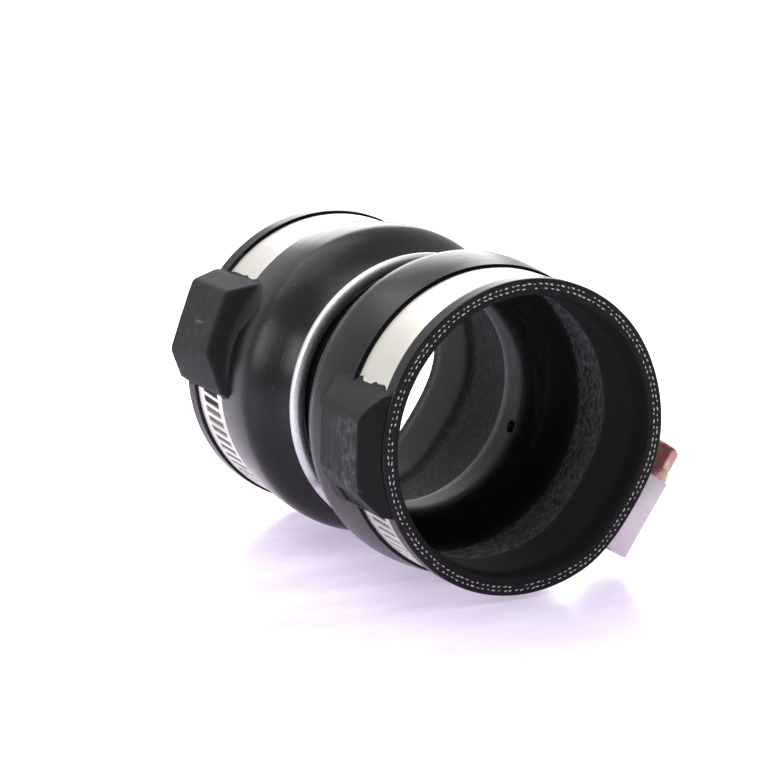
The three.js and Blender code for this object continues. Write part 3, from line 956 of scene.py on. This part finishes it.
class COUPLING_OT_saddles(bpy.types.Operator):
    """Builds the curved saddles that the housings grip."""

    bl_idname = "coupling.saddles"
    bl_label = "Saddles"

    def execute(self, context):
        s, c = sleeve_sizes(), clamp_sizes()
        for end, side in ENDS.items():
            half_width = c.band_width / 2
            rows = [-half_width, -half_width + 0.12] + spread(-half_width + 0.5, half_width - 0.5, 1.5)
            rows += [half_width - 0.12, half_width]
            low, high = math.radians(-17), math.radians(14)
            stops = [low, low + 0.003] + spread(low + 0.01, high - 0.01, 0.03) + [high - 0.003, high]

            def top(angle, along, stops=stops, half_width=half_width):
                rim = min(half_width - abs(along), (angle - stops[0]) * 44, (stops[-1] - angle) * 44)
                rounded = 0.14 if rim < 0.02 else 0.03 if rim < 0.2 else 0
                return around(c.saddle_outer - rounded, angle, along)

            def bottom(angle, along):
                return around(c.saddle_outer - c.saddle_thickness, angle, along)

            bm = sheet_of(stops, rows, top, bottom)
            place = at_clock(c.clock, clamp_middle(s, c, side))
            keep(bm, f"{end}_saddle_plate", "sleeve", [f"{end}_saddle"], "zinc_plate", zinc_plate, place)
        return {"FINISHED"}


def housing_outline(c, inset):
    """Half of the folded housing's section as (across, height), from the roof to the foot."""
    roof, half = c.roof - inset, c.housing_half - inset
    slope = inset * 0.55
    return [
        (0, roof),
        (2.0 - slope * 0.3, roof),
        (2.6 - slope * 0.5, roof - 0.25),
        (4.4 - slope, roof - 1.4),
        (5.1 - slope, roof - 1.9),
        (half - 0.55, roof - 4.55),
        (half - 0.12, roof - 5.0),
        (half, roof - 5.6 - slope * 0.4),
        (half, c.foot),
    ]


def housing_end(c, bore, x):
    """One end wall of a housing, from the middle of its thickness, with a bore for the screw."""
    outline = [(across, height) for across, height in housing_outline(c, c.housing_wall * 0.8)]
    floor = c.tail_outer + 0.45

    def inside(across, height):
        if height < floor or abs(across) > outline[-1][0]:
            return False
        return height < polyline(outline[:-1], abs(across))

    bm = bmesh.new()
    segments = 48
    for radius in (bore, bore + 0.4):
        bmesh.ops.create_circle(bm, segments=segments, radius=radius)
    bm.verts.ensure_lookup_table()
    for vert in bm.verts[segments:]:
        direction = vert.co.normalized()
        reach = bore + 0.4
        while inside(direction.x * reach, c.screw_axis + direction.y * reach):
            reach += 0.05
        vert.co = direction * reach
    bmesh.ops.bridge_loops(bm, edges=bm.edges[:])
    extruded = bmesh.ops.extrude_face_region(bm, geom=bm.faces[:])["geom"]
    moved = [item for item in extruded if isinstance(item, bmesh.types.BMVert)]
    bmesh.ops.translate(bm, verts=moved, vec=(0, 0, c.end_wall))
    stand = Matrix.Translation((x, 0, c.screw_axis)) @ Matrix(
        ((0, 0, 1, -c.end_wall / 2), (1, 0, 0, 0), (0, 1, 0, 0), (0, 0, 0, 1))
    )
    bmesh.ops.transform(bm, matrix=stand, verts=bm.verts[:])
    return bm


def merge(bm, other):
    """Adds another bmesh to a bmesh."""
    mesh = bpy.data.meshes.new("merging")
    other.to_mesh(mesh)
    other.free()
    bm.from_mesh(mesh)
    bpy.data.meshes.remove(mesh)


class COUPLING_OT_housings(bpy.types.Operator):
    """Builds the folded worm housings with their end walls."""

    bl_idname = "coupling.housings"
    bl_label = "Housings"

    def execute(self, context):
        s, c = sleeve_sizes(), clamp_sizes()
        for end, side in ENDS.items():
            bm = self.housing(c)
            place = at_clock(c.clock, clamp_middle(s, c, side))
            keep(bm, f"{end}_worm_housing", "sleeve", [f"{end}_housing"], "zinc_plate", zinc_plate, place)
        return {"FINISHED"}

    def housing(self, c):
        """A housing in its clamp's frame."""
        outer, inner = housing_outline(c, 0), housing_outline(c, c.housing_wall)
        half = c.housing_length / 2
        across = [(-1, i) for i in range(len(outer) - 1, 0, -1)] + [(1, i) for i in range(len(outer))]

        def side_of(outline):
            return lambda x, stop: Vector((x, stop[0] * outline[stop[1]][0], outline[stop[1]][1]))

        bm = sheet_of([-half, half], across, side_of(outer), side_of(inner))
        merge(bm, housing_end(c, 3.1, -half + c.end_wall / 2 + 0.02))
        merge(bm, housing_end(c, 2.5, half - c.end_wall / 2 - 0.02))
        corner = Vector((-half + 3.6, 0, c.roof - 4.2))
        for tilt in (12, 32, 52, 72):
            away = Vector((-math.cos(math.radians(tilt)), 0, math.sin(math.radians(tilt))))
            cut = bmesh.ops.bisect_plane(
                bm,
                geom=bm.verts[:] + bm.edges[:] + bm.faces[:],
                plane_co=corner + away * 3.6,
                plane_no=away,
                clear_outer=True,
            )
            rim = [item for item in cut["geom_cut"] if isinstance(item, bmesh.types.BMEdge)]
            bmesh.ops.holes_fill(bm, edges=[edge for edge in rim if edge.is_boundary], sides=0)
        bmesh.ops.recalc_face_normals(bm, faces=bm.faces[:])
        steep = math.radians(50)
        sharp = [edge for edge in bm.edges if edge.is_manifold and edge.calc_face_angle() > steep]
        bmesh.ops.bevel(
            bm,
            geom=sharp,
            offset=0.16,
            segments=2,
            profile=0.5,
            affect="EDGES",
            material=-1,
            clamp_overlap=True,
        )
        return bm


class COUPLING_OT_screws(bpy.types.Operator):
    """Builds the worm screws with their collars and hex heads."""

    bl_idname = "coupling.screws"
    bl_label = "Screws"

    def execute(self, context):
        s, c = sleeve_sizes(), clamp_sizes()
        for end, side in ENDS.items():
            place = at_clock(c.clock, clamp_middle(s, c, side)) @ Matrix.Translation((0, 0, c.screw_axis))
            name, node = f"{end}_worm_screw", f"{end}_screw"
            keep(self.screw(c), name, node, [node], "chromate_screw", chromate, place)
        return {"FINISHED"}

    def screw(self, c):
        """A screw along X about its own axis."""
        half = c.housing_length / 2
        collar, head = -half - 0.3, -half - 3.7
        worm_half = c.turns * c.pitch / 2
        core = c.worm_radius - c.thread_depth
        round_part = [
            (head, c.flange_radius - 0.75),
            (head + 0.12, c.flange_radius - 0.55),
            (head + 0.4, c.flange_radius - 0.45),
            (collar - 0.45, c.flange_radius),
            (collar - 0.12, c.flange_radius - 0.06),
            (collar, c.flange_radius - 0.22),
            (collar + 0.02, 2.8),
            (-worm_half - 0.05, 2.8),
            (-worm_half, core),
        ]
        tip_part = [(worm_half, core), (worm_half + 0.05, 2.2), (half, 2.2), (half + 0.3, 1.95)]
        chamfer = [(-c.head_end, 4.15), (-c.head_end + 0.15, 4.45), (-c.head_end + 0.7, 5.05)]
        chamfer += [(-c.head_end + 1.3, 5.34), (head - 0.02, 5.38)]
        threads = spread(-worm_half + 0.2, worm_half - 0.2, c.pitch / 12)
        stations = [x for x, _ in chamfer] + [x for x, _ in round_part] + threads + [x for x, _ in tip_part]

        def radius_at(x, angle):
            if x <= head - 0.01:
                from_flat = (angle + math.pi / 6) % (math.pi / 3) - math.pi / 6
                return min(c.head_flats / 2 / math.cos(from_flat), polyline(chamfer, x))
            if x <= -worm_half:
                return polyline(round_part, x)
            if x >= worm_half:
                return polyline(tip_part, x)
            phase = (x / c.pitch - angle / (2 * math.pi) + 0.5) % 1 - 0.5
            height = max(0.0, min(1.0, (0.15 + 0.12 - abs(phase)) / 0.12))
            return c.worm_radius - c.thread_depth * (1 - height)

        return tube_of(stations, 60, radius_at)


# ---- retainers ----


class COUPLING_OT_retainers(bpy.types.Operator):
    """Builds the rubber blocks that are bonded over the bands."""

    bl_idname = "coupling.retainers"
    bl_label = "Retainers"

    def execute(self, context):
        s, c, r = sleeve_sizes(), clamp_sizes(), retainer_sizes()
        for end, side in ENDS.items():
            clock = r.front_clock if side < 0 else r.rear_clock
            place = at_clock(clock, side * s.half_length, turned=side > 0)
            bm = self.block(s, c, r, -side)
            rubber = ("retainer_rubber", retainer_rubber, place, 40)
            keep(bm, f"{end}_retainer_block", "sleeve", [f"{end}_retainer"], *rubber)
        return {"FINISHED"}

    def block(self, s, c, r, up):
        """A retainer whose Y runs from the end face inwards, and whose upper end is at X = up."""
        across = spread(-r.base_lower - 4.5, r.base_lower + 4.5, r.cell)
        inwards = spread(0.6, r.hump_base + r.patch_reach + 1, r.cell)

        def base_half(x):
            return r.base_upper if x * up > 0 else r.base_lower

        def under(x, y):
            """The height of the sleeve or band beneath."""
            lip = s.seat_start - 0.1
            on_band = smoothstep(y, lip, lip + 0.3) * (1 - smoothstep(y, s.seat_end - 0.3, s.seat_end))
            radius = cover_radius(s, y) if y > s.seat_end else s.radius
            radius += (c.band_outer - radius) * on_band
            return math.sqrt(radius**2 - x**2)

        def solid(x, y):
            """The height of the faceted block."""
            base, top_half = base_half(x), r.top_half
            if x * up < 0:
                top_half -= 0.15 * max(0.0, y - r.rim_top)
            slope = (r.top - c.band_outer) / (base - top_half)
            flank = r.top - slope * (abs(x) - top_half)
            end = flank - 3.5 * max(0.0, abs(x) - base)
            rim = r.top + 4.5 * (y - r.rim_top)
            far = r.top - (r.top - c.band_outer) / (r.hump_base - r.hump_top) * (y - r.hump_top)
            crown = r.top - 0.0025 * (x * x) - 0.15
            blend = 4.0 if up > 0 and x > 0 else 1.2
            height = soft_min(soft_min(crown, end, blend), soft_min(rim, far, 1.0), 1.6)
            return height - (self.recess(x, y) if up > 0 else 0.0)

        def skin(x, y):
            """The thickness of rubber beyond the block: the bonded patch and the flash."""
            swell = math.exp(-(((x * up - 9) / 6.5) ** 2))
            patch_edge = r.hump_base + 0.6 + r.patch_reach * swell
            patch_end = base_half(x) + 1.5 - 0.04 * (y - 24) ** 2
            on_hump = smoothstep(y, s.seat_end - 0.2, s.seat_end + 0.4)
            patch = smoothstep(patch_edge - y, 0.0, 0.7) * smoothstep(patch_end - abs(x), 0.0, 0.9)
            patch *= on_hump
            ragged = noise.noise(Vector((up * 3.7 + (x > 0) * 9, y * 0.3, 0.3)))
            ragged += 0.3 * noise.noise(Vector((x > 0, y * 0.9, 5.1 * up)))
            flash_end = base_half(x) + 1.0 + (2.2 if up > 0 else 0.9) * ragged
            flash = smoothstep(flash_end - abs(x), 0.0, 0.5) * (1 - on_hump)
            near_rim = smoothstep(y, 1.0, 1.8)
            return max(r.patch_thickness * patch, r.flash * flash) * near_rim

        def top(x, y):
            beneath = under(x, y)
            thin = skin(x, y)
            surface = beneath + thin if thin > 0.01 else beneath - 0.25
            height = solid(x, y)
            if height > beneath - 0.2 and y < r.hump_base + 1:
                surface = -soft_min(-surface, -height, 0.8)
            return Vector((x, y, surface + 0.05 * noise.noise(Vector((x, y, up)) * 0.35)))

        def bottom(x, y):
            return Vector((x, y, under(x, y) - 0.6))

        bm = sheet_of(across, inwards, top, bottom)

        def on_top(place):
            inside = smoothstep(r.top_half + 1.2 - abs(place.x + 1.0 * up), 0, 2.5)
            inside *= smoothstep(place.y, r.rim_top - 0.4, r.rim_top + 1.5)
            return inside * smoothstep(r.hump_top - place.y, -1, 2) if place.z > r.top - 1.6 else 0.0

        def rubbed(place):
            """How much of the top is rubbed: most towards the rim and along the lower edge."""
            toward_rim = 1 - smoothstep(place.y, 8, 19)
            lower_edge = 1 - smoothstep(abs(place.x + 10.2 - 0.1 * place.y), 0.3, 1.0)
            return on_top(place) * (0.15 + 0.85 * toward_rim) + 0.9 * lower_edge * (place.z > r.top - 2.2)

        paint(bm, "scuff", lambda place: rubbed(place) if up > 0 else 0.1 * on_top(place))
        paint(bm, "mark", lambda place: self.scratch(place, up))
        return bm

    def recess(self, x, y):
        """The depth of the moulded pocket in the lower flank."""
        pocket = smoothstep(y, 9.0, 9.7) * (1 - smoothstep(y, 20.3, 21.0))
        pocket *= smoothstep(x, -17.2, -16.6) * (1 - smoothstep(x, -13.4, -12.8))
        return 0.9 * pocket

    def scratch(self, place, up):
        """The amount of the small light scratch on the rear retainer's top."""
        if up > 0:
            return 0.0
        across = 1 - smoothstep(abs(place.x - 1.5 + 0.1 * place.y), 0.1, 0.35)
        return 0.8 * across * smoothstep(place.y, 12.5, 13.5) * (1 - smoothstep(place.y, 16.5, 18))


# ---- stage ----


class COUPLING_OT_stage(bpy.types.Operator):
    """Builds the floor, the soft lights, the white surround and the camera."""

    bl_idname = "coupling.stage"
    bl_label = "Stage"

    def execute(self, context):
        scene = context.scene
        settings = scene.coupling_stage
        self.floor(scene)
        self.surround(scene, settings)
        self.light(scene, "top_light", "AREA", settings.key, (-0.25, 0.35, 0.9), 0.8)
        self.light(scene, "side_light", "AREA", settings.fill, (-0.9, 0.1, 0.35), 0.4)
        self.light(scene, "back_light", "AREA", settings.rim, (0.45, 1.0, 0.42), 0.5)
        self.camera(scene, settings.lens)
        scene.view_settings.view_transform = "Standard"
        return {"FINISHED"}

    def floor(self, scene):
        bm = bmesh.new()
        bmesh.ops.create_circle(bm, cap_ends=True, segments=96, radius=6)
        mesh = bpy.data.meshes.new("floor")
        bm.to_mesh(mesh)
        bm.free()
        mesh.materials.append(finish_of(floor_board))
        board = bpy.data.objects.new("floor", mesh)
        scene.collection.objects.link(board)

    def surround(self, scene, settings):
        """A white surround that is bright above and behind the object and dim in front of it."""
        world = bpy.data.worlds.new("white_surround")
        world.use_nodes = True
        background = world.node_tree.nodes["Background"]
        background.inputs["Color"].default_value = (1, 1, 1, 1)
        nodes = Nodes(world.node_tree)
        direction = nodes.add("ShaderNodeTexCoord", {}, {}, "Generated")
        bright = Vector((-0.1, 0.66, 0.75)).normalized()
        facing = nodes.add(
            "ShaderNodeVectorMath", {"operation": "DOT_PRODUCT"}, {0: direction, 1: tuple(bright)}, "Value"
        )
        strength = settings.dim + facing.ramp(0.12, 0.42) * (settings.sky - settings.dim)
        world.node_tree.links.new(strength.socket, background.inputs["Strength"])
        scene.world = world

    def light(self, scene, name, kind, power, place, size):
        data = bpy.data.lights.new(name, kind)
        data.energy = power
        data.shape = "SQUARE"
        data.size = size
        lamp = bpy.data.objects.new(name, data)
        lamp.location = place
        lamp.rotation_euler = (AXIS - Vector(place)).to_track_quat("-Z", "Y").to_euler()
        scene.collection.objects.link(lamp)

    def camera(self, scene, lens):
        data = bpy.data.cameras.new("camera")
        data.lens = lens
        data.sensor_width = 36
        data.clip_start = 0.01
        camera = bpy.data.objects.new("camera", data)
        place = Vector((-0.48816, -0.85561, 0.2804))
        target = Vector((-0.01461, -0.0001, 0.04986))
        camera.location = place
        camera.rotation_euler = (target - place).to_track_quat("-Z", "Y").to_euler()
        scene.collection.objects.link(camera)
        scene.camera = camera


# ---- add-on ----


OPERATORS = (
    COUPLING_OT_sleeve,
    COUPLING_OT_yarn_ends,
    COUPLING_OT_waist_ring,
    COUPLING_OT_bands,
    COUPLING_OT_saddles,
    COUPLING_OT_housings,
    COUPLING_OT_screws,
    COUPLING_OT_retainers,
    COUPLING_OT_stage,
)

SETTINGS = {
    "coupling_sleeve": SleeveSizes,
    "coupling_clamps": ClampSizes,
    "coupling_retainers": RetainerSizes,
    "coupling_colours": Colours,
    "coupling_stage": StageSettings,
}


class COUPLING_PT_panel(bpy.types.Panel):
    """Lists the pieces of the coupling."""

    bl_idname = "COUPLING_PT_panel"
    bl_label = "Hose coupling"
    bl_space_type = "VIEW_3D"
    bl_region_type = "UI"
    bl_category = "Coupling"

    def draw(self, context):
        for operator in OPERATORS:
            self.layout.operator(operator.bl_idname)


def register():
    for cls in (*SETTINGS.values(), *OPERATORS, COUPLING_PT_panel):
        bpy.utils.register_class(cls)
    for name, cls in SETTINGS.items():
        setattr(bpy.types.Scene, name, bpy.props.PointerProperty(type=cls))


def unregister():
    for name in SETTINGS:
        delattr(bpy.types.Scene, name)
    for cls in reversed((*SETTINGS.values(), *OPERATORS, COUPLING_PT_panel)):
        bpy.utils.unregister_class(cls)


def main():
    """Builds every piece and the stage."""
    register()
    for operator in OPERATORS:
        group, name = operator.bl_idname.split(".")
        getattr(getattr(bpy.ops, group), name)()


if __name__ == "__main__":
    main()
